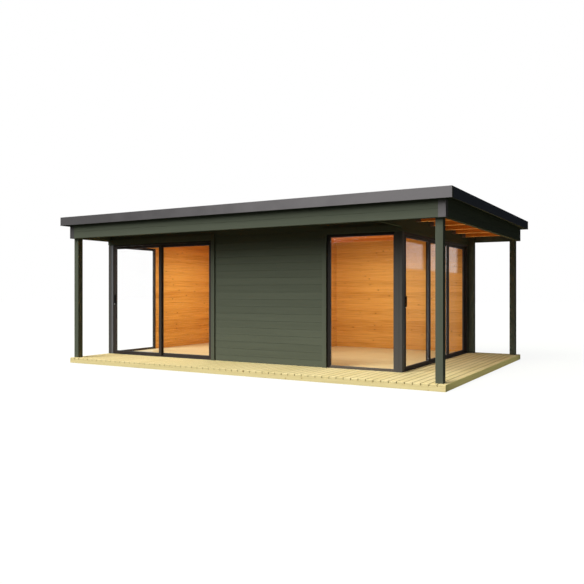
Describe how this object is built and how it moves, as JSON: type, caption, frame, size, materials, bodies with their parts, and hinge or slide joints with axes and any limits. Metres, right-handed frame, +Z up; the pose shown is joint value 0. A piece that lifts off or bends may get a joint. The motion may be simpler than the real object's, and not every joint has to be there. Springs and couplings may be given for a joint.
{
  "type": "garden house",
  "caption": "Flat-roofed timber garden house with two rooms, glazed corners, sliding glass doors and a roofed L-shaped deck terrace.",
  "frame": {"origin": "on the ground under the middle of the deck", "axes": "+X to the side terrace along the front, -Y out of the front, +Z up"},
  "size_m": [6.826, 4.726, 2.499],
  "materials": {
    "deck_pine": "planed pale pine boards",
    "painted_wood": "dark green opaque wood stain",
    "natural_wood": "clear varnished pine",
    "dark_frame": "anthracite powder coat, satin",
    "roof_metal": "grey coated sheet, satin",
    "hanger_steel": "black coated steel",
    "roof_covering": "dark grey roofing membrane",
    "pane": "clear double glazing",
    "handle_metal": "black satin"
  },
  "bodies": {
    "house": {"joists": "deck_pine", "side_rims": "deck_pine", "front_deck": "deck_pine", "side_deck": "deck_pine", "house_floor": "deck_pine", "front_wall": "painted_wood", "west_wall": "painted_wood", "rear_wall": "painted_wood", "east_pier": "painted_wood", "partition": "natural_wood", "front_headers": "painted_wood", "west_header": "painted_wood", "east_header": "painted_wood", "front_beam": "painted_wood", "side_beam": "painted_wood", "rear_beam": "painted_wood", "west_fascia": "painted_wood", "rear_fascia": "painted_wood", "porch_posts": "painted_wood", "corner_posts": "dark_frame", "beam_corner_trims": "roof_metal", "porch_rafters": "natural_wood", "room_rafters": "natural_wood", "rafter_hangers": "hanger_steel", "roof_boards": "natural_wood", "roof_membrane": "roof_covering", "edge_boards_long": "painted_wood", "edge_boards_short": "painted_wood", "roof_edge_long": "roof_metal", "roof_edge_short": "roof_metal", "front_door_frame": "dark_frame", "side_door_frame": "dark_frame", "front_window_frame": "dark_frame", "west_window_frame": "dark_frame", "window_glass": "pane", "front_fixed_leaf": "dark_frame", "side_fixed_leaves": "dark_frame", "fixed_leaf_glass": "pane", "unit_trims": "painted_wood"},
    "front_leaf": {"front_leaf": "dark_frame", "front_leaf_glass": "pane", "front_leaf_handle": "handle_metal"},
    "side_leaf": {"side_leaf": "dark_frame", "side_leaf_glass": "pane", "side_leaf_handle": "handle_metal"}
  },
  "joints": [
    {"name": "front_door_slide", "type": "slide", "parent": "house", "child": "front_leaf", "axis": [1, 0, 0], "range_m": [0, 1.067]},
    {"name": "side_door_slide", "type": "slide", "parent": "house", "child": "side_leaf", "axis": [0, 1, 0], "range_m": [0, 2.063]}
  ]
}
